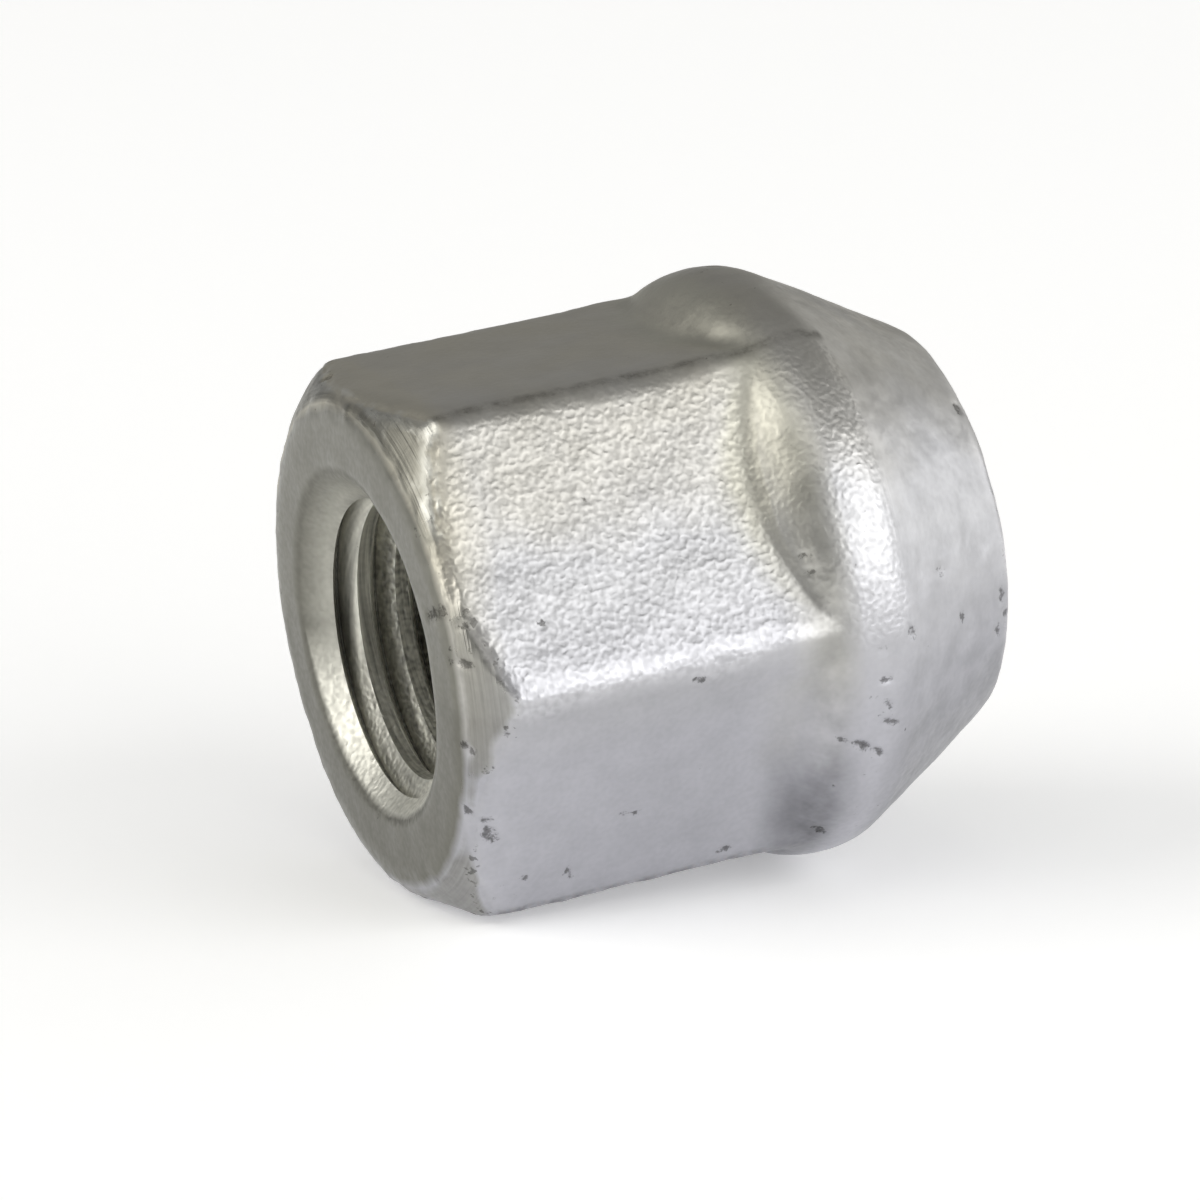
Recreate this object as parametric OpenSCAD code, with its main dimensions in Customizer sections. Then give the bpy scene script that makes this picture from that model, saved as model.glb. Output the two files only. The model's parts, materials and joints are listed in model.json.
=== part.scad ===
// Lug nut: one forged piece that clamps a wheel to its hub. A hexagon takes the wrench,
// a rounded collar stands out past it, a conical seat centres the wheel, and a threaded
// hole runs right through for the stud.
//
// The nut is drawn on its own axis, with the end face of the hexagon at z = 0 and the
// small end of the seat at the top. It is then laid down as it comes to rest: on one flat
// of the hexagon and on the crest of the collar, with the seat end a little raised.

/* [Hexagon] */
// Width across the flats, which is the wrench size
across_flats = 19; // [17:0.5:21]
// Radius along the six corners
corner_r = 0.95; // [0.3:0.05:2]
// How far inside the flats the chamfer of the end face starts
chamfer_inset = 0.6; // [0.5:0.05:1.5]
// Angle between the chamfer and the end face
chamfer_angle = 40; // [15:1:45]
// Radius of the edge between the end face and the chamfer
face_edge_r = 1; // [0.2:0.1:1.8]

/* [Collar] */
// How far the crest of the collar stands out past the flats
collar_over = 1.6; // [1.4:0.1:2.5]
// Radius across the crest
crest_r = 3; // [1:0.25:4]
// Angle between the nut's axis and the slope from the flats up to the crest
back_angle = 39; // [25:1:60]

/* [Seat] */
// Full angle of the conical seat
seat_angle = 60; // [50:1:90]
// Length of the nut from the end face to the small end of the seat
nut_length = 22.4; // [20:0.1:40]
// Width of the ring round the hole at the small end, before its edge is rounded
rim_w = 1.1; // [0.8:0.1:2]
// Radius of the edge between the seat and that ring
rim_edge_r = 0.5; // [0.1:0.1:1]

/* [Threaded hole] */
// Nominal diameter of the thread
thread_d = 12; // [10:0.1:14]
// Pitch of the thread
thread_pitch = 1.5; // [1:0.25:2]
// How much wider than the thread each countersunk mouth is
mouth_over = 0.8; // [0.4:0.1:1.2]
// Full angle of the countersinks
countersink_angle = 90; // [60:5:120]

/* [Hidden] */
$fn = 96;
plated_steel = [0.69, 0.68, 0.66];
cut_past = 1;               // how far a cutting shape runs out past the faces that it cuts
arc_error = 0.003;          // how far the short straights of a rounded corner may leave its arc

flat_r = across_flats / 2;
face_r = flat_r - chamfer_inset;
corner_reach = flat_r / cos(30);

// The hole is left plain, at the height of the thread's crests: D - 1.0825 P across
bore_r = (thread_d - 1.0825 * thread_pitch) / 2;
mouth_r = (thread_d + mouth_over) / 2;
countersink_depth = (mouth_r - bore_r) / tan(countersink_angle / 2);

// The seat and the back slope, carried on to a sharp edge, meet at the peak. The crest
// rounds that edge off. The seat is measured from its small end, so the collar's place
// along the nut follows from the length, the hole and the angle of the seat.
seat_slope = seat_angle / 2;
rim_r = mouth_r + rim_w;
crest_mid_r = flat_r + collar_over - crest_r;
peak_far = crest_r / cos((seat_slope + back_angle) / 2);
peak_turn = (seat_slope - back_angle) / 2;
peak_r = crest_mid_r + peak_far * cos(peak_turn);
peak_z = nut_length - (peak_r - rim_r) / tan(seat_slope);
crest_z = peak_z - peak_far * sin(peak_turn);

// The back slope is carried on inside the hexagon, to this depth under the flats
root_sunk = 1;
root_r = flat_r - root_sunk;
root_z = peak_z - (peak_r - root_r) / tan(back_angle);

// At rest the floor touches the end of the lowest flat and the crest of the collar. The
// line from that flat's end to the middle of the crest's arc, and the arc's own radius,
// give the angle between the nut's axis and the floor.
toe_z = chamfer_inset * tan(chamfer_angle);
toe_to_crest = norm([crest_z - toe_z, crest_mid_r - flat_r]);
rest_tilt = asin(crest_r / toe_to_crest) + atan2(crest_mid_r - flat_r, crest_z - toe_z);
axis_height = flat_r * cos(rest_tilt) - toe_z * sin(rest_tilt);

// The nut's furthest points along the floor lie on its two rounded end edges, the upper
// side of the hexagon's and the lower side of the seat's. Half-way between is x = 0.
face_arc_r = face_r - face_edge_r * tan(chamfer_angle / 2);
rim_arc_r = rim_r - rim_edge_r * tan((90 - seat_slope) / 2);
near_x = face_edge_r * cos(rest_tilt) - face_arc_r * sin(rest_tilt) - face_edge_r;
far_x = (nut_length - rim_edge_r) * cos(rest_tilt) + rim_arc_r * sin(rest_tilt) + rim_edge_r;

function unit(v) = v / norm(v);
function direction(v) = atan2(v.y, v.x);

// Points along a round corner at b, met from a and left towards c, turning anticlockwise
function round_corner(a, b, c, r) =
    let (
        turn = acos(unit(b - a) * unit(c - b)),
        steps = ceil(turn / (2 * acos(1 - arc_error / r))),
        middle = b + unit(unit(a - b) + unit(c - b)) * r / cos(turn / 2),
        start = direction(b - a) - 90
    )
    [for (i = [0 : steps]) middle + r * [cos(start + turn * i / steps), sin(start + turn * i / steps)]];

// A convex outline, anticlockwise, with each corner rounded to its own radius, or sharp for 0
module rounded_outline(points, radii) {
    count = len(points);
    polygon([
        for (i = [0 : count - 1])
            let (a = points[(i + count - 1) % count], b = points[i], c = points[(i + 1) % count])
            for (p = radii[i] > 0 ? round_corner(a, b, c, radii[i]) : [b])
                p
    ]);
}

// Six flats, with rounded corners between them
module hexagon_bar() {
    corners = [for (i = [0 : 5]) corner_reach * [cos(60 * i + 30), sin(60 * i + 30)]];
    linear_extrude(crest_z)
        rounded_outline(corners, [for (i = [0 : 5]) corner_r]);
}

// The turned end that the hexagon is cut to: end face, rounded edge and chamfer
module turned_end() {
    out_r = corner_reach + cut_past;
    out_z = (out_r - face_r) * tan(chamfer_angle);
    top_z = crest_z + cut_past;
    rotate_extrude()
        rounded_outline(
            [[0, 0], [face_r, 0], [out_r, out_z], [out_r, top_z], [0, top_z]],
            [0, face_edge_r, 0, 0, 0]
        );
}

module wrench_hexagon() {
    color(plated_steel)
        intersection() {
            hexagon_bar();
            turned_end();
        }
}

// The back slope, the crest and the conical seat, turned as one profile
module collar_and_seat() {
    color(plated_steel)
        rotate_extrude()
            rounded_outline(
                [[0, root_z], [root_r, root_z], [peak_r, peak_z], [rim_r, nut_length], [0, nut_length]],
                [0, 0, crest_r, rim_edge_r, 0]
            );
}

// The plain hole with a countersink at each end
module stud_hole() {
    mouth_out_r = mouth_r + cut_past * tan(countersink_angle / 2);
    rotate_extrude()
        polygon([
            [0, -cut_past],
            [mouth_out_r, -cut_past],
            [bore_r, countersink_depth],
            [bore_r, nut_length - countersink_depth],
            [mouth_out_r, nut_length + cut_past],
            [0, nut_length + cut_past]
        ]);
}

// Lays the nut down along x with its first flat on the floor, at z = 0
module laid_down() {
    translate([-(near_x + far_x) / 2, 0, axis_height])
        rotate([0, 90 - rest_tilt, 0])
            children();
}

module lug_nut() {
    laid_down()
        color(plated_steel)
            difference() {
                union() {
                    wrench_hexagon();
                    collar_and_seat();
                }
                stud_hole();
            }
}

lug_nut();
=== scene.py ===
import json
from math import atan2, cos, pi, radians, sin, tan
from types import SimpleNamespace

import bmesh
import bpy
import numpy as np
from mathutils import Matrix, Vector


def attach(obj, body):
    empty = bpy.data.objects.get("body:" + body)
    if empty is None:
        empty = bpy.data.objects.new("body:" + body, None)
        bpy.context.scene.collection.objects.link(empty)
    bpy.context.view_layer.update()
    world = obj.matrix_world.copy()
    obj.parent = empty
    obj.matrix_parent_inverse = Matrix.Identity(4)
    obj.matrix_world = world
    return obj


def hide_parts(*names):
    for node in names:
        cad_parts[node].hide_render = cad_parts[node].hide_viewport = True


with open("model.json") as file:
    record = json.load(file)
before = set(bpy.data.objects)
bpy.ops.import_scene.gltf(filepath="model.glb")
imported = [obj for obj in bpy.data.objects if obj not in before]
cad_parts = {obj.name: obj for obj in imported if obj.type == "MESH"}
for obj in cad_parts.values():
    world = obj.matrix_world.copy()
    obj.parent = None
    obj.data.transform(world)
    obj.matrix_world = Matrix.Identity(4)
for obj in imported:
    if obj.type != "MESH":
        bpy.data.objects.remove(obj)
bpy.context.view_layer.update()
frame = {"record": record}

# ---------------------------------------------------------------- sizes, in millimetres
MM = 0.001

ACROSS_FLATS = 19.0
CORNER_R = 0.95
FACE_R = 8.9                # end face, inside the chamfer
CHAMFER_ANGLE = 40.0        # from the end face
FACE_EDGE_R = 1.0
COLLAR_R = 11.1
CREST_R = 3.0
BACK_ANGLE = 39.0           # from the nut's axis
SEAT_ANGLE = 30.0           # from the nut's axis, half of the full 60 degrees
NUT_LENGTH = 22.4
RIM_R = 7.5                 # small end of the seat, before its edge is rounded
RIM_EDGE_R = 0.5
MOUTH_R = 6.4               # countersink at the face
COUNTERSINK_ANGLE = 45.0    # from the axis
MOUTH_EDGE_R = 0.7          # worn edge between the end face and its countersink
THREAD_PITCH = 1.5
THREAD_ROOT_R = 6.0
THREAD_TURNED = 66.0        # how far round the thread starts, in degrees
CUT_PAST = 1.0              # how far cutting shapes run out past what they cut

# The forged skin: the size of its voxels, and the smoothing that softens its edges
SKIN_GRAIN = 0.18
SKIN_PASSES = 8
SWELL_SIZE = 2.6            # width of the shallow hollows that forging leaves
SWELL_DEPTH = 0.12

# Knocks along the edges of the hexagon's turned end
KNOCK_SIZE = 1.1
KNOCK_DEPTH = 0.3
KNOCKS_TO = 12.5            # how far along the nut they reach, and over what length they fade
KNOCKS_FADE = 1.5
EDGE_PASSES = 24            # passes that level the skin, to measure how far an edge stands out
EDGE_LEAST = 0.02           # how far it stands out where it starts to count as an edge
EDGE_STAND_OUT = 0.14       # and how much more where it counts in full

# The collar's inner corner, filled on the lower side: angle round the nut and place along it
SOFT_SIDE = -50
SOFT_AT = 12.9
SOFT_PASSES = 90
CORNER_SHADE_SIDE = -38           # where the painted shade in that corner is darkest
CORNER_SHADE_AT = 13.5

# Passes that level the skin, to find narrow edges and broad hollows for the finish
FINE_PASSES = 12
BROAD_PASSES = 70

flat_r = ACROSS_FLATS / 2
corner_reach = flat_r / cos(radians(30))
mounts = {m["name"]: m for m in frame["record"]["mounts"]}
thread_crest_r = mounts["thread"]["dims"]["r_mm"]

# How the nut lies: the middle of its end face, and its axis leaning over from upright
nut_axis = Vector(mounts["thread"]["axis"]).normalized()
lean = atan2(nut_axis.x, nut_axis.z)
end_middle = Vector(mounts["thread"]["pos_m"]) - nut_axis * NUT_LENGTH / 2 * MM

# The peak where the seat and the back slope would meet, before the crest rounds it off
peak_far = CREST_R / cos(radians((SEAT_ANGLE + BACK_ANGLE) / 2))
peak_turn = radians((SEAT_ANGLE - BACK_ANGLE) / 2)
peak_r = COLLAR_R - CREST_R + peak_far * cos(peak_turn)
peak_z = NUT_LENGTH - (peak_r - RIM_R) / tan(radians(SEAT_ANGLE))
crest_z = peak_z - peak_far * sin(peak_turn)


# ---------------------------------------------------------------- modelling helpers
def start(name):
    """The primitive just added, named, alone in the selection and active."""
    obj = bpy.context.active_object
    obj.name = name
    obj.data.name = name
    return obj


def only(obj):
    """Object mode, with this object alone selected and active."""
    if bpy.context.object and bpy.context.object.mode != "OBJECT":
        bpy.ops.object.mode_set(mode="OBJECT")
    bpy.ops.object.select_all(action="DESELECT")
    obj.select_set(True)
    bpy.context.view_layer.objects.active = obj


def pick(obj, kind, test):
    """Edit mode, with only those vertices, edges or faces selected that pass the test."""
    only(obj)
    bpy.ops.object.mode_set(mode="EDIT")
    bpy.ops.mesh.select_mode(type=kind)
    bpy.ops.mesh.select_all(action="DESELECT")
    shape = bmesh.from_edit_mesh(obj.data)
    items = {"VERT": shape.verts, "EDGE": shape.edges, "FACE": shape.faces}[kind]
    for item in items:
        item.select_set(test(item))
    shape.select_flush_mode()
    bmesh.update_edit_mesh(obj.data)


def done():
    bpy.ops.object.mode_set(mode="OBJECT")


def at_height(z):
    """A test for edges and faces that lie level at this height."""
    return lambda item: all(abs(v.co.z - z) < 1e-4 for v in item.verts)


def upright(edge):
    low, high = edge.verts
    return abs(low.co.z - high.co.z) > 1e-4


def round_edges(arc_r, turn, segments):
    """Rounds the selected edges to a radius, where the surface turns by an angle in degrees."""
    bpy.ops.mesh.bevel(
        offset_type="OFFSET", offset=arc_r * tan(radians(turn / 2)),
        segments=segments, profile=0.5, affect="EDGES", clamp_overlap=False,
    )


def modify(obj, kind, **settings):
    """Adds a modifier with its settings and applies it."""
    only(obj)
    modifier = obj.modifiers.new(kind.title(), kind)
    for name, value in settings.items():
        setattr(modifier, name, value)
    bpy.ops.object.modifier_apply(modifier=modifier.name)


def combine(obj, other, operation):
    """Joins, cuts or keeps the overlap with another solid, which is then deleted."""
    modify(obj, "BOOLEAN", operation=operation, object=other, solver="EXACT")
    bpy.data.objects.remove(other)


# ---------------------------------------------------------------- the nut, on its own axis
def hexagon_bar():
    """Six flats with rounded corners, from the end face up to the crest of the collar."""
    bpy.ops.mesh.primitive_cylinder_add(
        vertices=6, radius=corner_reach, depth=crest_z, location=(0, 0, crest_z / 2),
    )
    bar = start("hexagon_bar")
    bpy.ops.object.transform_apply()
    pick(bar, "EDGE", upright)
    round_edges(CORNER_R, 60, 8)
    done()
    return bar


def turned_end():
    """The round blank that the hexagon was cut from: end face, soft edge and chamfer."""
    out_r = corner_reach + CUT_PAST
    out_z = (out_r - FACE_R) * tan(radians(CHAMFER_ANGLE))
    bpy.ops.mesh.primitive_cone_add(
        vertices=144, radius1=FACE_R, radius2=out_r, depth=out_z, location=(0, 0, out_z / 2),
    )
    blank = start("turned_end")
    bpy.ops.object.transform_apply()
    pick(blank, "FACE", at_height(out_z))
    bpy.ops.mesh.extrude_region_move(
        TRANSFORM_OT_translate={"value": (0, 0, crest_z + CUT_PAST - out_z)}
    )
    pick(blank, "EDGE", at_height(0))
    round_edges(FACE_EDGE_R, CHAMFER_ANGLE, 6)
    done()
    return blank


def collar_and_seat():
    """The seat as a cone, its wide end drawn in again as the back slope, and both edges rounded."""
    root_r = flat_r - CUT_PAST
    root_z = peak_z - (peak_r - root_r) / tan(radians(BACK_ANGLE))
    seat_length = NUT_LENGTH - peak_z
    bpy.ops.mesh.primitive_cone_add(
        vertices=192, radius1=peak_r, radius2=RIM_R, depth=seat_length,
        location=(0, 0, peak_z + seat_length / 2),
    )
    collar = start("collar")
    bpy.ops.object.transform_apply()
    pick(collar, "FACE", at_height(peak_z))
    bpy.ops.mesh.extrude_region_move(TRANSFORM_OT_translate={"value": (0, 0, root_z - peak_z)})
    bpy.ops.transform.resize(value=(root_r / peak_r, root_r / peak_r, 1))
    pick(collar, "EDGE", at_height(peak_z))
    round_edges(CREST_R, SEAT_ANGLE + BACK_ANGLE, 20)
    pick(collar, "EDGE", at_height(NUT_LENGTH))
    round_edges(RIM_EDGE_R, 90 - SEAT_ANGLE, 6)
    done()
    return collar


def countersink(z, side):
    """A cone that opens towards one end of the nut: side is -1 for the hexagon, 1 for the seat."""
    open_r = MOUTH_R + CUT_PAST
    depth = open_r / tan(radians(COUNTERSINK_ANGLE))
    middle = z + side * (CUT_PAST - depth / 2)
    wide, narrow = (open_r, 0) if side < 0 else (0, open_r)
    bpy.ops.mesh.primitive_cone_add(
        vertices=192, radius1=wide, radius2=narrow, depth=depth, location=(0, 0, middle),
    )
    return start("countersink")


def on_mouth(edge):
    """A test for the edge between the end face and its countersink."""
    return at_height(0)(edge) and all(v.co.xy.length < MOUTH_R + 0.1 for v in edge.verts)


def thread_tap():
    """A right-hand screw of the nut's own thread, to cut the hole with."""
    crest_half = THREAD_PITCH / 6       # half of the flat on the nut's thread crests
    root_half = THREAD_PITCH / 50       # half of the flat at its roots
    middle = THREAD_PITCH / 2
    profile = [
        (thread_crest_r, 0),
        (thread_crest_r, crest_half),
        (THREAD_ROOT_R, middle - root_half),
        (THREAD_ROOT_R, middle + root_half),
        (thread_crest_r, THREAD_PITCH - crest_half),
        (thread_crest_r, THREAD_PITCH),
    ]
    first_turn = (THREAD_TURNED / 360 - 2) * THREAD_PITCH
    turns = int((NUT_LENGTH + 4 * THREAD_PITCH) / THREAD_PITCH) + 1
    bpy.ops.mesh.primitive_plane_add(size=1)
    tap = start("thread_tap")
    pick(tap, "VERT", lambda v: True)
    bpy.ops.mesh.merge(type="CENTER")
    place = profile[0]
    bpy.ops.transform.translate(value=(place[0], 0, place[1] + first_turn))
    for point in profile[1:]:
        bpy.ops.mesh.extrude_vertices_move(
            TRANSFORM_OT_translate={"value": (point[0] - place[0], 0, point[1] - place[1])}
        )
        place = point
    done()
    modify(
        tap, "SCREW", angle=2 * pi, screw_offset=THREAD_PITCH, iterations=turns,
        steps=96, render_steps=96,
    )
    pick(tap, "VERT", lambda v: True)
    bpy.ops.mesh.remove_doubles(threshold=1e-3)
    done()
    for upper in (False, True):
        close_end(tap, upper)
    pick(tap, "FACE", lambda f: True)
    bpy.ops.mesh.normals_make_consistent(inside=False)
    done()
    return tap


def close_end(tap, upper):
    """Draws one open end of the screw to a point, well outside the nut."""
    middle = NUT_LENGTH / 2
    pick(tap, "EDGE", lambda e: e.is_boundary and (e.verts[0].co.z > middle) == upper)
    bpy.ops.mesh.extrude_edges_move()
    bpy.ops.mesh.merge(type="CENTER")
    done()


# ---------------------------------------------------------------- the mesh as tables
def vertex_table(mesh, what):
    """The vertices' places (co) or normals, a row for each."""
    table = np.empty(len(mesh.vertices) * 3, dtype=np.float32)
    mesh.vertices.foreach_get(what, table)
    return table.reshape(-1, 3).astype(float)


def edge_ends(mesh):
    """The vertices at the two ends of each edge, a row for each edge."""
    table = np.empty(len(mesh.edges) * 2, dtype=np.int32)
    mesh.edges.foreach_get("vertices", table)
    return table.reshape(-1, 2)


def round_the_axis(place):
    """How far each place is from the nut's axis, and its angle round it, in degrees."""
    return np.hypot(place[:, 0], place[:, 1]), np.degrees(np.arctan2(place[:, 1], place[:, 0]))


def turned_from(angle, middle):
    """How far each angle is from the middle one, the shorter way round, in degrees."""
    return (angle - middle + 180) % 360 - 180


def near(far, reach, spread):
    """1 close by, falling over one spread to 0 where it is reach spreads away."""
    return np.clip(reach - far / spread, 0, 1)


def stand_out(mesh, passes):
    """How far each vertex stands out of the skin round it: edges above 0, hollows below."""
    place = vertex_table(mesh, "co")
    ends = edge_ends(mesh)
    here = np.concatenate([ends[:, 0], ends[:, 1]])
    there = np.concatenate([ends[:, 1], ends[:, 0]])
    neighbours = np.bincount(here, minlength=len(place))
    level = place
    for _ in range(passes):
        level = np.stack(
            [np.bincount(here, weights=level[there, k], minlength=len(place)) for k in range(3)], 1
        ) / neighbours[:, None]
    return ((place - level) * vertex_table(mesh, "normal")).sum(axis=1)


def keep_on_skin(mesh, name, values):
    """Stores a number at each vertex for the material to read."""
    layer = mesh.attributes.new(name, "FLOAT", "POINT")
    layer.data.foreach_set("value", values.astype(np.float32))


def weigh(nut, name, weights):
    """A vertex group, as if painted on, from one weight between 0 and 1 for each vertex."""
    group = nut.vertex_groups.new(name=name)
    steps = 20
    for step in range(1, steps + 1):
        here = np.flatnonzero(np.round(weights * steps) == step)
        group.add(here.tolist(), step / steps, "REPLACE")


# ---------------------------------------------------------------- forging, wear and nicks
# Each nick: place along the nut from its end face, angle round it, length, width and depth,
# in millimetres, and how far its length is turned away from the nut's axis, in degrees
NICKS = (
    # collar and seat
    (14.80, -65.4, 0.9, 0.45, 0.14, 35),
    (15.51, -85.4, 0.7, 0.25, 0.06, 10),
    (15.58, -79.2, 0.9, 0.28, 0.08, 15),
    (15.70, -73.8, 0.8, 0.36, 0.10, 60),
    (15.79, -69.8, 0.9, 0.40, 0.10, 20),
    (15.43, -63.2, 1.1, 0.36, 0.10, 40),
    (13.99, -67.0, 0.5, 0.35, 0.05, 30),
    (16.85, -86.8, 0.6, 0.45, 0.08, 50),
    (18.65, -96.6, 0.5, 0.40, 0.06, 0),
    (19.60, -84.0, 0.6, 0.30, 0.04, 70),
    (21.91, -82.9, 0.8, 0.50, 0.08, 80),
    (22.08, -77.1, 0.6, 0.45, 0.08, 60),
    (21.63, -73.4, 0.5, 0.40, 0.06, 80),
    (21.90, -136.5, 0.7, 0.40, 0.10, 90),
    # turned end
    (1.08, -55.9, 1.3, 0.60, 0.16, 60),
    (0.95, -59.5, 0.7, 0.45, 0.12, 10),
    (0.36, -61.5, 0.6, 0.40, 0.08, 70),
    (0.14, -111.5, 0.5, 0.36, 0.10, 60),
    (0.55, -107.5, 0.6, 0.30, 0.08, 20),
    (0.40, -99.0, 0.8, 0.40, 0.08, 40),
    (0.30, -78.7, 0.6, 0.40, 0.10, 80),
    # flats
    (8.58, -86.8, 0.8, 0.35, 0.06, 10),
    (6.15, -128.4, 0.4, 0.32, 0.06, 45),
    (3.30, -104.0, 0.4, 0.32, 0.05, 45),
    # behind the collar
    (13.35, -106.1, 0.6, 0.30, 0.06, 10),
    (13.48, -102.6, 0.5, 0.30, 0.06, 15),
    (14.23, -38.1, 0.9, 0.50, 0.10, 60),
    # flats
    (6.60, -51.9, 1.1, 0.26, 0.05, 15),
    (10.78, -34.6, 0.9, 0.30, 0.07, 10),
    (2.78, -40.2, 0.5, 0.36, 0.06, 40),
    (4.51, -38.4, 1.0, 0.34, 0.06, 70),
    # underneath, and the side turned away
    (9.10, 31.0, 0.9, 0.45, 0.10, 15),
    (15.10, 64.0, 1.0, 0.45, 0.12, 70),
    (3.40, 92.0, 0.7, 0.50, 0.12, 50),
    (19.20, 118.0, 0.8, 0.40, 0.08, 30),
    (12.20, 149.0, 0.7, 0.45, 0.10, 0),
    (15.80, 172.0, 0.9, 0.50, 0.12, 80),
    (1.10, 160.0, 0.8, 0.50, 0.12, 60),
    (5.20, -8.0, 0.8, 0.40, 0.08, 25),
    (18.40, 10.0, 0.9, 0.40, 0.08, 55),
)
NICK_REACH = 1.3            # how far a nick's soft rim reaches, as a share of its half size


def press_nicks(nut):
    """Presses the nicks in, and returns how deep in a nick each vertex lies, from 0 to 1."""
    place = vertex_table(nut.data, "co")
    outward = vertex_table(nut.data, "normal")
    radius, angle = round_the_axis(place)
    marks = np.zeros(len(place))
    for along, around, length, width, depth, turn in NICKS:
        side = np.radians(turned_from(angle, around)) * radius
        rise = place[:, 2] - along
        lengthwise = rise * cos(radians(turn)) + side * sin(radians(turn))
        sideways = side * cos(radians(turn)) - rise * sin(radians(turn))
        far = np.hypot(lengthwise / (length / 2), sideways / (width / 2))
        inside = np.clip(1 - far / NICK_REACH, 0, 1)
        fall = inside ** 2 * (3 - 2 * inside)
        fall[radius < MOUTH_R + 1] = 0
        place -= outward * (fall * depth)[:, None]
        marks = np.maximum(marks, fall)
    nut.data.vertices.foreach_set("co", place.astype(np.float32).ravel())
    nut.data.update()
    return marks


def batter_edges(nut):
    """The edges of the hexagon's turned end are knocked about: uneven, and softer than the rest."""
    place = vertex_table(nut.data, "co")
    radius, _ = round_the_axis(place)
    on_edge = np.clip((stand_out(nut.data, EDGE_PASSES) - EDGE_LEAST) / EDGE_STAND_OUT, 0, 1)
    on_edge *= np.clip((KNOCKS_TO - place[:, 2]) / KNOCKS_FADE, 0, 1) * (radius > FACE_R - FACE_EDGE_R)
    weigh(nut, "edges", on_edge)
    knocks = bpy.data.textures.new("knocks", "CLOUDS")
    knocks.noise_scale = KNOCK_SIZE
    knocks.noise_depth = 3
    modify(
        nut, "DISPLACE", texture=knocks, texture_coords="LOCAL", strength=KNOCK_DEPTH,
        mid_level=1, vertex_group="edges",
    )


def fill_corner(nut):
    """Under the collar, the lower side's inner corner is filled to a broad soft hollow."""
    place = vertex_table(nut.data, "co")
    _, angle = round_the_axis(place)
    soft = near(np.abs(turned_from(angle, SOFT_SIDE)), reach=1.6, spread=28)
    soft *= near(np.abs(place[:, 2] - SOFT_AT), reach=1.5, spread=1.8)
    weigh(nut, "soft_corner", soft)
    modify(nut, "SMOOTH", factor=0.5, iterations=SOFT_PASSES, vertex_group="soft_corner")
    # a painted shade for that corner, kept on the skin for the material
    painted_corner_shade = near(np.abs(turned_from(angle, CORNER_SHADE_SIDE)), reach=1.5, spread=20)
    painted_corner_shade *= near(np.abs(place[:, 2] - CORNER_SHADE_AT), reach=1.5, spread=1.2)
    keep_on_skin(nut.data, "painted_corner_shade", painted_corner_shade)


def roughen(nut):
    """Forging leaves no face quite true: shallow hollows a few millimetres across, all inwards."""
    swell = bpy.data.textures.new("forged_swell", "CLOUDS")
    swell.noise_scale = SWELL_SIZE
    swell.noise_depth = 2
    modify(nut, "DISPLACE", texture=swell, texture_coords="LOCAL", strength=SWELL_DEPTH, mid_level=1)


# ---------------------------------------------------------------- the whole nut
def nut_shape():
    nut = hexagon_bar()
    combine(nut, turned_end(), "INTERSECT")
    combine(nut, collar_and_seat(), "UNION")
    combine(nut, countersink(0, -1), "DIFFERENCE")
    combine(nut, countersink(NUT_LENGTH, 1), "DIFFERENCE")
    pick(nut, "EDGE", on_mouth)
    round_edges(MOUTH_EDGE_R, COUNTERSINK_ANGLE, 6)
    done()
    modify(nut, "REMESH", mode="VOXEL", voxel_size=SKIN_GRAIN)
    modify(nut, "SMOOTH", factor=0.5, iterations=SKIN_PASSES)
    fill_corner(nut)
    roughen(nut)
    batter_edges(nut)
    nut.vertex_groups.clear()
    marks = press_nicks(nut)
    keep_on_skin(nut.data, "nick", marks)
    combine(nut, thread_tap(), "DIFFERENCE")
    keep_on_skin(nut.data, "edge", stand_out(nut.data, FINE_PASSES))
    keep_on_skin(nut.data, "hollow", -stand_out(nut.data, BROAD_PASSES))
    return nut


def lay_down(nut):
    """Puts the nut where the frame's thread says, and bakes that place into its mesh."""
    nut.matrix_world = (
        Matrix.Translation(end_middle) @ Matrix.Rotation(lean, 4, "Y") @ Matrix.Scale(MM, 4)
    )
    only(nut)
    bpy.ops.object.transform_apply()


# ---------------------------------------------------------------- the finish
def linear(hex_colour):
    """An sRGB hex colour as the linear RGBA that a shader takes."""
    parts = [int(hex_colour[k:k + 2], 16) / 255 for k in (1, 3, 5)]
    return [p / 12.92 if p <= 0.04045 else ((p + 0.055) / 1.055) ** 2.4 for p in parts] + [1.0]


def add(tree, kind, links=None, **settings):
    """Adds a node with its settings; links gives its inputs a value, or another node's output."""
    node = tree.nodes.new("ShaderNode" + kind)
    for name, value in settings.items():
        setattr(node, name, value)
    for name, value in (links or {}).items():
        if isinstance(value, bpy.types.Node):
            value = value.outputs[0]
        if isinstance(value, bpy.types.NodeSocket):
            tree.links.new(value, node.inputs[name])
        else:
            node.inputs[name].default_value = value
    return node


ZINC = "#BABABB"            # bright zinc, a plain silver
COOL_ZINC = "#B9B9BF"       # a shade bluer on the lower side: a painted cool reflection
WARM_ZINC = "#BEBAAC"       # a shade warmer round the upper side and near the end face: a painted warm reflection
STRAW = "#C5C3B6"           # straw bloom, where the bath drained slowly
HOLE_ZINC = "#E1E0D6"       # the hole painted brighter than the plate: painted light inside it
RIM_HIGHLIGHT_ZINC = "#DADAD3"     # painted highlight along the hexagon's turned edge
TURNED_ZINC = "#7A7971"     # the turned end darkened: painted shade
DIRT_AND_SHADE = "#34322E"            # dark dirt in nicks and pits; in the same colour, painted dark reflections along the lower corners, a dark line by the upper front one, and painted shade in the thread's roots
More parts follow.
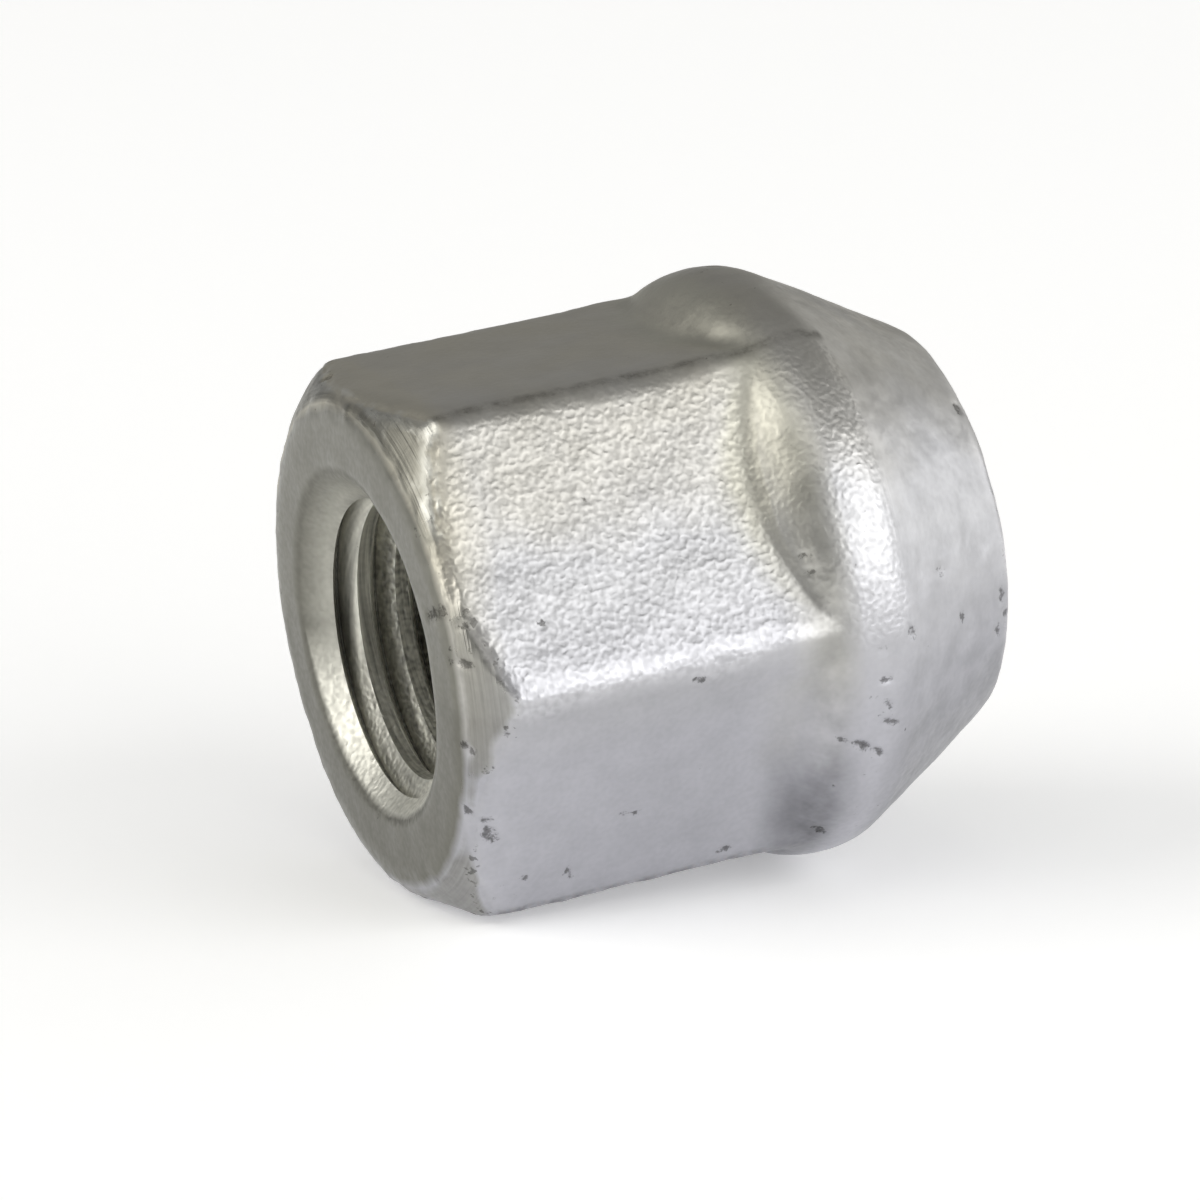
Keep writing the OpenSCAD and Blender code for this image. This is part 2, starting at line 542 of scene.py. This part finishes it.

# Directions out from the nut's axis, by their angle round it
LINED_CORNER = (cos(radians(-150)), sin(radians(-150)), 0)           # the corner with a dark broken line beside it
LINED_CORNER_SIDE = (sin(radians(-150)), -cos(radians(-150)), 0)     # square across that corner
WARM_SIDE = (cos(radians(170)), sin(radians(170)), 0)
GRAINY_SIDE = (cos(radians(-118)), sin(radians(-118)), 0)           # coarse here and opposite

GRAIN_SIZE = 0.21           # the plated grain on forged faces, mm
RIPPLE_SIZE = 1.3           # soft ripples on the seat, mm
TURNING_SIZE = 0.16         # spacing of the turning marks, mm
GRAIN_RISE = 0.014          # how high the grain, the turning marks and the ripples rise, mm
TURNING_RISE = 0.03
RIPPLE_RISE = 0.075

# Masks by place. Each row gives a measure, where on it the mask starts and where it is reached,
# and the mask's value at the two. The measures: height is along the nut from its end face and
# radius out from its axis; inside_chamfer is how far in from the chamfer's cone a place lies,
# and edge how far the skin stands out there, all in millimetres; low_side goes from -1 on the
# nut's upper side to 1 on its lower side; nick is 1 in the middle of a nick.
MASKS = {
    # where it was turned, and all but the hole
    "seat": ("height", 16.75, 16.95, 0, 1),
    "chamfer": ("inside_chamfer", 0.32, 0.2, 0, 1),
    "face": ("height", 0.3, 0.15, 0, 1),
    "hole": ("radius", 6.7, 6.5, 0, 1),
    "outer": ("radius", 6.5, 6.8, 0, 1),
    # the turned end and the chamfer's rim, for painted shade and the rim's painted highlight
    "on_rim": ("inside_chamfer", 0.5, 0.36, 0, 1),
    "rim_edge": ("edge", 0.025, 0.06, 0, 1),
    "rim_outside": ("radius", 9.2, 9.35, 0, 1),
    "upper_rim": ("low_side", -0.5, -0.68, 0.12, 1),
    "low_rim": ("low_side", -0.62, -0.45, 0, 1),
    "chamfer_dull": ("low_side", -0.7, -0.3, 0.85, 0.62),
    "near_end": ("height", 2.5, 0.5, 0, 0.8),
    # the hole, from its near mouth to its far one, with painted shade high in its mouth and in its
    # roots
    "mouth_in": ("radius", 4.6, 6.4, 0, 1),
    "near_mouth": ("height", 1.8, 1.2, 0, 1),
    "mouth_upper": ("low_side", 0.5, 0.1, 0, 1),
    "hole_low": ("low_side", 0.2, 0.6, 0.4, 1.3),
    "root": ("radius", 5.93, 5.985, 0, 1),
    "root_from": ("height", 0.7, 0.9, 0, 1),
    "drawn_from": ("height", 0.9, 1.3, 0, 1),
    "deep": ("height", 2.2, 3.4, 0, 1.6),
    "far_mouth": ("height", 21.4, 21.0, 0, 1),
    "root_to": ("height", 21.7, 21.5, 0, 1),
    # the lower side and its two lower corners, for painted reflections and painted shade
    "cool": ("low_side", -0.3, 0.3, 0, 1),
    "low_flat": ("low_side", 0.03, 0.07, 0, 1),
    "before_back": ("height", 12.0, 10.0, 0, 1),
    "corner_above": ("low_side", 0.842, 0.86, 0, 1),
    "corner_below": ("low_side", 0.9, 0.885, 0, 1),
    "corner_to": ("height", 12.6, 12.0, 0, 1),
    # the collar: its back slope, the pockets before it, and its top; the last two take painted shade
    "back_from": ("height", 12.5, 13.1, 0, 1),
    "back_to": ("height", 15.0, 14.3, 0, 1),
    "pocket_from": ("height", 12.0, 13.4, 0, 1),
    "deep_pocket_from": ("height", 12.6, 13.6, 0, 1),
    "pocket_to": ("height", 14.9, 14.0, 0, 1),
    "pocket_side": ("low_side", -0.8, -0.55, 0.1, 1.35),
    "top_side": ("low_side", -0.8, -0.97, 0, 1),
    # the seat's lower side, painted darker as shade
    "seat_low": ("low_side", 0.05, 0.7, 0, 1),
    "seat_from": ("height", 15.6, 17.2, 0, 1),
    # wear and nicks; the worn edges also take a painted highlight
    "worn_edge": ("edge", 0.01, 0.06, 0, 1),
    "in_nick": ("nick", 0.02, 0.15, 0, 1),
}


def find_places(tree, skin):
    """The nut's own axes, in millimetres: X and Y across it and Z along it from the end face,
    and the masks that follow from them."""
    place = add(tree, "TexCoord").outputs["Object"]
    skin.along = add(
        tree, "Mapping",
        {"Vector": place, "Location": end_middle, "Rotation": (0, lean, 0), "Scale": (MM, MM, MM)},
        vector_type="TEXTURE",
    )
    skin.across = add(tree, "VectorMath", {0: skin.along, 1: (1, 1, 0)}, operation="MULTIPLY")
    skin.radius = add(tree, "VectorMath", {0: skin.across}, operation="LENGTH").outputs["Value"]
    skin.outward = add(tree, "VectorMath", {0: skin.across}, operation="NORMALIZE")
    skin.height = add(tree, "SeparateXYZ", {0: skin.along}).outputs["Z"]
    skin.low_side = add(tree, "SeparateXYZ", {0: skin.outward}).outputs["X"]
    chamfer_r = add(
        tree, "Math", {0: skin.height, 1: 1 / tan(radians(CHAMFER_ANGLE)), 2: FACE_R},
        operation="MULTIPLY_ADD",
    )
    skin.inside_chamfer = add(tree, "Math", {0: chamfer_r, 1: skin.radius}, operation="SUBTRACT")
    skin.edge = add(tree, "Attribute", attribute_name="edge").outputs["Fac"]
    skin.nick = add(tree, "Attribute", attribute_name="nick").outputs["Fac"]
    for name, (measure, start_at, reached_at, low, high) in MASKS.items():
        mask = add(
            tree, "MapRange",
            {
                "Value": getattr(skin, measure), "From Min": start_at, "From Max": reached_at,
                "To Min": low, "To Max": high,
            },
        )
        setattr(skin, name, mask)


def part_turned_from_forged(tree, skin):
    """Turned: seat, chamfer, end face, countersinks and thread. Forged: all the rest."""
    skin.turned = skin.seat
    for place in (skin.chamfer, skin.face, skin.hole):
        skin.turned = add(tree, "Math", {0: skin.turned, 1: place}, operation="MAXIMUM")
    skin.forged = add(tree, "Math", {0: 1.0, 1: skin.turned}, operation="SUBTRACT")


def find_wear(tree, skin):
    """Rubbed edges, which also carry a painted highlight, and hollows, from what is kept at the
    skin's vertices in millimetres.
    """
    skin.rubbed = add(tree, "Math", {0: skin.worn_edge, 1: skin.outer}, operation="MULTIPLY")
    hollow = add(tree, "Attribute", attribute_name="hollow").outputs["Fac"]
    hollow = add(
        tree, "MapRange", {"Value": hollow, "From Min": 0.01, "From Max": 0.14},
        interpolation_type="SMOOTHSTEP",
    )
    skin.hollow = add(tree, "Math", {0: hollow, 1: skin.outer}, operation="MULTIPLY")


def grow_grain(tree, skin):
    """Plated grain: fine crooked ridges on the forged faces, coarser on some flats than others."""
    grain = add(
        tree, "TexNoise",
        {"Vector": skin.along, "Scale": 1 / GRAIN_SIZE, "Detail": 0.0, "Distortion": 0.25},
    )
    skin.grain = add(tree, "MapRange", {"Value": grain, "From Min": 0.25, "From Max": 0.75})

    # coarse on the grainy side, with a ragged border
    side = add(tree, "VectorMath", {0: skin.outward, 1: GRAINY_SIDE}, operation="DOT_PRODUCT")
    side = add(tree, "Math", {0: side.outputs["Value"]}, operation="ABSOLUTE")
    patchy = add(tree, "TexNoise", {"Vector": skin.along, "Scale": 0.35, "Detail": 2.0})
    patchy = add(tree, "Math", {0: patchy, 1: 0.5}, operation="SUBTRACT")
    patchy = add(tree, "Math", {0: patchy, 1: 0.12, 2: side}, operation="MULTIPLY_ADD")
    skin.patchy = add(
        tree, "MapRange", {"Value": patchy, "From Min": 0.858, "From Max": 0.88, "To Min": 0.15}
    )

    # smoother on the back slope, and nowhere quite gone
    back_slope = add(tree, "Math", {0: skin.back_from, 1: skin.back_to}, operation="MULTIPLY")
    smoother = add(tree, "Math", {0: back_slope, 1: -0.45, 2: 1.0}, operation="MULTIPLY_ADD")
    depth = skin.forged
    for share in (skin.patchy, smoother):
        depth = add(tree, "Math", {0: depth, 1: share}, operation="MULTIPLY")
    depth = add(tree, "Math", {0: depth, 1: 0.15}, operation="MAXIMUM")

    # strong again in the hole, low down and deep in
    skin.deep_in_hole = add(tree, "Math", {0: skin.deep, 1: skin.far_mouth}, operation="MULTIPLY")
    in_hole = add(tree, "Math", {0: skin.hole_low, 1: skin.deep_in_hole}, operation="MAXIMUM")
    in_hole = add(tree, "Math", {0: skin.hole, 1: in_hole}, operation="MULTIPLY")
    skin.grain_depth = add(tree, "Math", {0: depth, 1: in_hole}, operation="MAXIMUM")


def turn_rings(tree, skin):
    """Turning marks: rings round the axis, broken up along their length."""
    around = add(tree, "VectorMath", {0: skin.outward, 1: (1.6, 1.6, 0)}, operation="MULTIPLY")
    step = add(tree, "Math", {0: skin.radius, 1: skin.height}, operation="ADD")
    step = add(tree, "Math", {0: step, 1: 1 / TURNING_SIZE}, operation="MULTIPLY")
    step = add(tree, "CombineXYZ", {"Z": step})
    rings = add(tree, "VectorMath", {0: around, 1: step}, operation="ADD")
    skin.rings = add(
        tree, "TexNoise", {"Vector": rings, "Scale": 1.0, "Detail": 2.0, "Roughness": 0.6}
    )

    # deepest on the chamfer, shallow on the seat
    depth = add(tree, "MapRange", {"Value": skin.face, "To Min": 1.0, "To Max": 0.25})
    depth = add(tree, "Math", {0: depth, 1: skin.chamfer}, operation="MULTIPLY")
    seat_rings = add(tree, "Math", {0: skin.seat, 1: 0.18}, operation="MULTIPLY")
    skin.ring_depth = add(tree, "Math", {0: depth, 1: seat_rings}, operation="MAXIMUM")


def skin_bump(tree, skin):
    """Grain, turning marks and the seat's soft ripples as heights in millimetres, in one bump."""
    grain_rise = add(tree, "Math", {0: skin.grain, 1: skin.grain_depth}, operation="MULTIPLY")
    rise = add(tree, "Math", {0: grain_rise, 1: GRAIN_RISE}, operation="MULTIPLY")
    ring_rise = add(tree, "Math", {0: skin.rings, 1: skin.ring_depth}, operation="MULTIPLY")
    rise = add(tree, "Math", {0: ring_rise, 1: TURNING_RISE, 2: rise}, operation="MULTIPLY_ADD")
    ripple = add(
        tree, "TexNoise",
        {
            "Vector": skin.along, "Scale": 1 / RIPPLE_SIZE, "Detail": 1.0, "Roughness": 0.5,
            "Distortion": 0.4,
        },
    )
    ripple = add(tree, "Math", {0: ripple, 1: 0.5}, operation="SUBTRACT")
    ripple = add(tree, "Math", {0: ripple, 1: skin.seat}, operation="MULTIPLY")
    rise = add(tree, "Math", {0: ripple, 1: RIPPLE_RISE, 2: rise}, operation="MULTIPLY_ADD")
    return add(tree, "Bump", {"Strength": 1.0, "Distance": MM, "Height": rise})


def plate_colour(tree, skin):
    """Painted reflections: warmer round the upper side and the end, broken by a cloud, and bluer on
    the lower side; straw in the hollow behind the collar. The hole is painted brightest, as
    painted light, and the turned end darkest, as painted shade."""
    # painted warm reflection: warmer towards the upper side and near the end face, broken by a cloud
    drift = add(tree, "VectorMath", {0: skin.outward, 1: WARM_SIDE}, operation="DOT_PRODUCT")
    cloud = add(tree, "TexNoise", {"Vector": skin.along, "Scale": 0.22, "Detail": 3.0})
    cloud = add(tree, "Math", {0: cloud, 1: 0.8, 2: -0.4}, operation="MULTIPLY_ADD")
    drift = add(tree, "Math", {0: drift.outputs["Value"], 1: cloud}, operation="ADD")
    drift = add(tree, "Math", {0: drift, 1: skin.near_end}, operation="ADD")
    warm = add(tree, "MapRange", {"Value": drift, "From Min": 0.25, "From Max": 1.15})

    patch = add(tree, "TexNoise", {"Vector": skin.along, "Scale": 0.8, "Detail": 3.0})
    skin.cloud_patch = add(tree, "MapRange", {"Value": patch, "From Min": 0.35, "From Max": 0.65})
    pocket = add(tree, "Math", {0: skin.pocket_from, 1: skin.pocket_to}, operation="MULTIPLY")
    pocket = add(tree, "Math", {0: pocket, 1: skin.hollow}, operation="MAXIMUM")
    pooled = add(
        tree, "MapRange", {"Value": drift, "From Min": -0.7, "From Max": 0.5, "To Max": 0.9}
    )
    pocket = add(tree, "Math", {0: pocket, 1: pooled}, operation="MULTIPLY")

    # painted shade over the end face, the chamfer (less on its lower side) and the countersink's upper
    # part
    in_mouth = skin.hole
    for share in (skin.near_mouth, skin.mouth_upper):
        in_mouth = add(tree, "Math", {0: in_mouth, 1: share}, operation="MULTIPLY")
    turned_shade = add(tree, "Math", {0: skin.chamfer, 1: skin.chamfer_dull}, operation="MULTIPLY")
    for place in (skin.face, in_mouth):
        turned_shade = add(tree, "Math", {0: turned_shade, 1: place}, operation="MAXIMUM")
    turned_shade = add(tree, "Math", {0: turned_shade, 1: skin.mouth_in}, operation="MULTIPLY")

    colour = linear(ZINC)
    # in turn: painted cool reflection below, painted warm reflection above, straw, painted light in
    # the hole, painted shade on the turned end
    for place, plate in (
        (skin.cool, COOL_ZINC), (warm, WARM_ZINC), (pocket, STRAW),
        (skin.hole, HOLE_ZINC), (turned_shade, TURNED_ZINC),
    ):
        mixed = add(
            tree, "Mix", {"Factor": place, "A": colour, "B": linear(plate)}, data_type="RGBA"
        )
        colour = mixed.outputs["Result"]
    streak = add(tree, "Math", {0: skin.rings, 1: 0.5}, operation="SUBTRACT")
    streak = add(tree, "Math", {0: streak, 1: skin.ring_depth}, operation="MULTIPLY")
    streak = add(tree, "Math", {0: streak, 1: 0.5, 2: 1.0}, operation="MULTIPLY_ADD")
    return add(tree, "VectorMath", {0: colour, "Scale": streak}, operation="SCALE")


def shade_grain(tree, skin, colour):
    """The grain's ridges are rubbed bright and its valleys stay dull; on the grainy flats the worn
    edges are brighter still, partly wear and partly a painted highlight. In the hole, streaks run
    round with the thread, darker on the whole: painted shade."""
    ridge = add(tree, "Math", {0: skin.grain, 1: 0.5}, operation="SUBTRACT")
    shade = add(tree, "Math", {0: ridge, 1: skin.grain_depth}, operation="MULTIPLY")
    shade = add(tree, "Math", {0: shade, 1: 0.20, 2: 1.0}, operation="MULTIPLY_ADD")
    # worn edges on the grainy flats made brighter: partly wear, partly a painted highlight
    bright_edge = add(tree, "Math", {0: skin.rubbed, 1: skin.patchy}, operation="MULTIPLY")
    shade = add(tree, "Math", {0: bright_edge, 1: 0.15, 2: shade}, operation="MULTIPLY_ADD")
    fleck = add(tree, "Math", {0: skin.grain, 1: 0.5}, operation="SUBTRACT")
    for share in (skin.hole, skin.deep_in_hole):
        fleck = add(tree, "Math", {0: fleck, 1: share}, operation="MULTIPLY")
    shade = add(tree, "Math", {0: fleck, 1: 0.16, 2: shade}, operation="MULTIPLY_ADD")
    # streaks round with the thread, set darker on the whole: painted shade in the thread
    streaks_and_shade = add(tree, "Math", {0: skin.rings, 1: 0.61}, operation="SUBTRACT")
    for share in (skin.hole, skin.drawn_from, skin.far_mouth):
        streaks_and_shade = add(tree, "Math", {0: streaks_and_shade, 1: share}, operation="MULTIPLY")
    shade = add(tree, "Math", {0: streaks_and_shade, 1: 1.7, 2: shade}, operation="MULTIPLY_ADD")
    return add(tree, "VectorMath", {0: colour, "Scale": shade}, operation="SCALE")


def paint_rim_highlight(tree, skin, colour):
    """A painted highlight: a bright line along the hexagon's turned edge on the upper flats."""
    skin.rim_line = skin.rim_edge
    for share in (skin.on_rim, skin.rim_outside):
        skin.rim_line = add(tree, "Math", {0: skin.rim_line, 1: share}, operation="MULTIPLY")
    shine = skin.rim_line
    for share in (skin.upper_rim, 0.66):
        shine = add(tree, "Math", {0: shine, 1: share}, operation="MULTIPLY")
    rubbed = add(
        tree, "Mix", {"Factor": shine, "A": colour, "B": linear(RIM_HIGHLIGHT_ZINC)}, data_type="RGBA"
    )
    return rubbed.outputs["Result"]


def lay_film_and_shade(tree, skin, colour):
    """Blotches of film on the seat, a tone that varies at random; the rest is painted shade: in the
    hollows, in the pockets behind the collar, on the hexagon's lower side, on top of the collar,
    low on the seat and in the filled corner under the collar."""
    # painted shade in the pockets behind the collar, broken by a cloud
    pocket_shade = skin.deep_pocket_from
    for share in (skin.pocket_to, skin.cloud_patch, skin.pocket_side):
        pocket_shade = add(tree, "Math", {0: pocket_shade, 1: share}, operation="MULTIPLY")
    blotch = add(tree, "Math", {0: skin.cloud_patch, 1: 0.5}, operation="SUBTRACT")
    blotch_depth = add(tree, "Math", {0: skin.seat, 1: 0.1, 2: 0.06}, operation="MULTIPLY_ADD")
    blotch = add(tree, "Math", {0: blotch, 1: blotch_depth}, operation="MULTIPLY")
    # painted shade on the hexagon's lower side, low on the seat and on top of the collar
    low_bar = add(tree, "Math", {0: skin.before_back, 1: skin.low_flat}, operation="MULTIPLY")
    low_seat = add(tree, "Math", {0: skin.seat_low, 1: skin.seat_from}, operation="MULTIPLY")
    top_collar = add(tree, "Math", {0: skin.top_side, 1: skin.back_from}, operation="MULTIPLY")
    # painted shade in the filled corner under the collar
    painted_corner_shade = add(tree, "Attribute", attribute_name="painted_corner_shade").outputs["Fac"]
    painted_corner_shade = add(tree, "Math", {0: painted_corner_shade, 1: skin.forged}, operation="MULTIPLY")
    film_and_shade = 1.0
    for place, dulled in ((skin.hollow, -0.1), (pocket_shade, -0.22)):
        film_and_shade = add(tree, "Math", {0: place, 1: dulled, 2: film_and_shade}, operation="MULTIPLY_ADD")
    film_and_shade = add(tree, "Math", {0: film_and_shade, 1: blotch}, operation="ADD")
    for place, dulled in ((low_bar, -0.09), (low_seat, -0.33), (top_collar, -0.11), (painted_corner_shade, -0.3)):
        film_and_shade = add(tree, "Math", {0: place, 1: dulled, 2: film_and_shade}, operation="MULTIPLY_ADD")
    return add(tree, "VectorMath", {0: colour, "Scale": film_and_shade}, operation="SCALE")


def gather_dirt(tree, skin, colour):
    """Dirt in the nicks and in a few small pits, most of them along the edges. In the same colour:
    painted dark reflections along the hexagon's two lower corners, a dark broken line beside its
    upper front corner, and painted shade in the thread's roots."""
    pits = add(
        tree, "TexNoise", {"Vector": skin.along, "Scale": 1.9, "Detail": 3.0, "Roughness": 0.65}
    )
    near_edge = add(tree, "MapRange", {"Value": skin.rubbed, "To Max": 0.11})
    pits = add(tree, "Math", {0: pits, 1: near_edge}, operation="ADD")
    low_rim = add(tree, "Math", {0: skin.low_rim, 1: skin.rim_line}, operation="MULTIPLY")
    pits = add(tree, "Math", {0: low_rim, 1: 0.1, 2: pits}, operation="MULTIPLY_ADD")
    pits = add(tree, "MapRange", {"Value": pits, "From Min": 0.74, "From Max": 0.80})

    # a dark broken line beside the upper front corner, and a painted dark reflection along each of the
    # lower corners
    broken = add(
        tree, "TexNoise", {"Vector": skin.along, "Scale": 0.9, "Detail": 4.0, "Roughness": 0.7}
    )
    broken = add(
        tree, "MapRange", {"Value": broken, "From Min": 0.36, "From Max": 0.6, "To Max": 0.95}
    )
    beside = add(tree, "VectorMath", {0: skin.across, 1: LINED_CORNER_SIDE}, operation="DOT_PRODUCT")
    beside = add(tree, "Math", {0: beside.outputs["Value"], 1: 0.15}, operation="SUBTRACT")
    beside = add(tree, "Math", {0: beside}, operation="ABSOLUTE")
    line = add(tree, "MapRange", {"Value": beside, "From Min": 0.38, "From Max": 0.1})
    on_corner = add(tree, "VectorMath", {0: skin.across, 1: LINED_CORNER}, operation="DOT_PRODUCT")
    on_corner = add(
        tree, "MapRange", {"Value": on_corner.outputs["Value"], "From Min": 10.2, "From Max": 10.4}
    )
    for share in (on_corner, skin.forged, broken):
        line = add(tree, "Math", {0: line, 1: share}, operation="MULTIPLY")
    # a painted dark reflection along each of the two lower corners
    low_corner = skin.corner_above
    for share in (skin.corner_below, skin.forged, broken, skin.corner_to):
        low_corner = add(tree, "Math", {0: low_corner, 1: share}, operation="MULTIPLY")

    # nicks hold dirt in crumbs, and the thread's roots get an even painted shade
    crust = add(
        tree, "TexNoise", {"Vector": skin.along, "Scale": 2.6, "Detail": 4.0, "Roughness": 0.75}
    )
    crust = add(tree, "Math", {0: crust, 1: 3.0, 2: -1.5}, operation="MULTIPLY_ADD")
    nicked = add(tree, "Math", {0: skin.nick, 1: crust}, operation="ADD")
    nicked = add(tree, "MapRange", {"Value": nicked, "From Min": 0.35, "From Max": 0.75})
    nicked = add(tree, "Math", {0: nicked, 1: skin.in_nick}, operation="MULTIPLY")
    root = skin.root
    for share in (skin.hole, skin.root_from, skin.root_to):
        root = add(tree, "Math", {0: root, 1: share}, operation="MULTIPLY")

    # dirt, painted shade and painted dark reflections, in one mask
    dirt = pits
    for place in (nicked, line, low_corner, root):
        dirt = add(tree, "Math", {0: dirt, 1: place}, operation="MAXIMUM")
    darkest = add(
        tree, "MapRange", {"Value": crust, "From Max": 1.0, "To Min": 0.52, "To Max": 0.86}
    )
    skin.dirt = add(tree, "Math", {0: dirt, 1: darkest}, operation="MULTIPLY")
    dirty = add(
        tree, "Mix", {"Factor": skin.dirt, "A": colour, "B": linear(DIRT_AND_SHADE)}, data_type="RGBA"
    )
    return dirty.outputs["Result"]


def gloss(tree, skin):
    """Roughness: ridges a little glossier than valleys, turned and rubbed places glossier still,
    the hole duller, and the dirt and the painted shade and reflections in its colour duller too."""
    rough = add(
        tree, "MapRange",
        {"Value": skin.grain, "From Min": 0.0, "From Max": 1.0, "To Min": 0.46, "To Max": 0.38},
    )
    for place, rougher in ((skin.turned, -0.06), (skin.hole, 0.13), (skin.rubbed, -0.06)):
        rough = add(tree, "Math", {0: place, 1: rougher, 2: rough}, operation="MULTIPLY_ADD")
    return add(
        tree, "Math", {0: skin.dirt, 1: 0.35, 2: rough}, operation="MULTIPLY_ADD", use_clamp=True
    )


def zinc_plated_steel():
    """Cold-forged steel under bright zinc: silver, grainy on the forged faces and smoother where
    it was turned, with a faint straw bloom in the hollows and dirt in the nicks. Its colour also
    carries painted reflections and highlights, painted light in the hole and painted shade."""
    material = bpy.data.materials.new("zinc_plated_cold_forged_steel")
    material.use_nodes = True
    tree = material.node_tree
    tree.nodes.clear()
    skin = SimpleNamespace()
    for find in (find_places, part_turned_from_forged, find_wear, grow_grain, turn_rings):
        find(tree, skin)
    colour = plate_colour(tree, skin)
    for change in (shade_grain, paint_rim_highlight, lay_film_and_shade, gather_dirt):
        colour = change(tree, skin, colour)
    shader = add(
        tree, "BsdfPrincipled",
        {
            "Base Color": colour, "Metallic": 1.0, "Roughness": gloss(tree, skin),
            "Normal": skin_bump(tree, skin),
        },
    )
    add(tree, "OutputMaterial", {"Surface": shader})
    return material


FLOOR_LIFT = 0.25           # brings the card, where it is seen itself, up to white
FIBRES = 900.0              # card fibres to the metre, far coarser than real ones so that they show


def floor_board():
    """White card, lit to just under white."""
    material = bpy.data.materials.new("white_card")
    material.use_nodes = True
    tree = material.node_tree
    tree.nodes.clear()
    place = add(tree, "TexCoord").outputs["Object"]
    fibre = add(tree, "TexNoise", {"Vector": place, "Scale": FIBRES, "Detail": 2.0})
    colour = add(
        tree, "Mix", {"Factor": fibre, "A": linear("#FAFAF9"), "B": linear("#FDFDFC")},
        data_type="RGBA",
    )
    card = add(
        tree, "BsdfPrincipled",
        {"Base Color": colour.outputs["Result"], "Roughness": 0.9, "IOR": 1.45},
    )
    seen = add(tree, "LightPath")
    direct = seen.outputs["Is Camera Ray"]
    for ray in ("Is Glossy Ray", "Is Transmission Ray"):
        direct = add(tree, "Math", {0: direct, 1: seen.outputs[ray]}, operation="MAXIMUM")
    lift = add(tree, "Math", {0: direct, 1: FLOOR_LIFT}, operation="MULTIPLY")
    glow = add(tree, "Emission", {"Color": linear("#FFFFFF"), "Strength": lift})
    both = add(tree, "AddShader", {0: card, 1: glow})
    add(tree, "OutputMaterial", {"Surface": both})
    return material


# ---------------------------------------------------------------- the nut, made and laid down
bpy.ops.object.select_all(action="DESELECT")
nut = nut_shape()
nut.name = "plated_nut"
lay_down(nut)
only(nut)
bpy.ops.object.shade_smooth_by_angle(angle=radians(35))
nut.data.materials.clear()
nut.data.materials.append(zinc_plated_steel())
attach(nut, "root")
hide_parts("lug_nut")


# ---------------------------------------------------------------- floor, light and camera
def softbox(name, power, width, height, azimuth, elevation, far, colour):
    """A flat soft lamp that faces the nut, so many metres wide, high and far off, and so many
    degrees round to the right from the front and up from the floor."""
    out = Vector((
        sin(radians(azimuth)) * cos(radians(elevation)),
        -cos(radians(azimuth)) * cos(radians(elevation)),
        sin(radians(elevation)),
    ))
    light = bpy.data.lights.new(name, "AREA")
    light.shape = "RECTANGLE"
    light.size = width
    light.size_y = height
    light.energy = power
    light.color = colour
    lamp = bpy.data.objects.new(name, light)
    lamp.location = out * far
    lamp.rotation_euler = out.to_track_quat("Z", "Y").to_euler()
    bpy.context.scene.collection.objects.link(lamp)


bpy.ops.mesh.primitive_plane_add(size=6, location=(0, 0, 0))
floor = start("floor")
floor.data.materials.append(floor_board())

softbox("key_softbox", 18.6, 1.8, 1.65, 27, 20, 1.6, (1.0, 1.0, 1.0))
softbox("side_softbox", 7.4, 1.6, 1.3, 76, 10, 1.6, (0.99, 0.99, 1.0))
softbox("back_softbox", 1.1, 1.1, 0.9, 124, 20, 1.6, (1.0, 1.0, 1.0))
softbox("left_softbox", 10.2, 1.1, 1.5, -96, 29, 1.4, (1.0, 0.985, 0.95))
softbox("top_softbox", 2.0, 0.8, 0.8, -35, 60, 1.5, (1.0, 1.0, 0.98))

world = bpy.data.worlds.new("studio")
world.use_nodes = True
world.node_tree.nodes["Background"].inputs["Color"].default_value = linear("#FFFFFF")
world.node_tree.nodes["Background"].inputs["Strength"].default_value = 0.29
bpy.context.scene.world = world
bpy.context.scene.view_settings.view_transform = "Standard"

camera = bpy.data.objects.new("camera", bpy.data.cameras.new("camera"))
camera.data.lens = 218.7
camera.data.sensor_width = 36
camera.data.clip_start = 0.01
looks_along = Vector((0.38350, 0.89186, -0.23984)).normalized()
camera.location = (-0.10358, -0.23683, 0.07388)
camera.rotation_euler = (
    looks_along.to_track_quat("-Z", "Y").to_matrix() @ Matrix.Rotation(radians(-0.3), 3, "Z")
).to_euler()
bpy.context.scene.collection.objects.link(camera)
bpy.context.scene.camera = camera
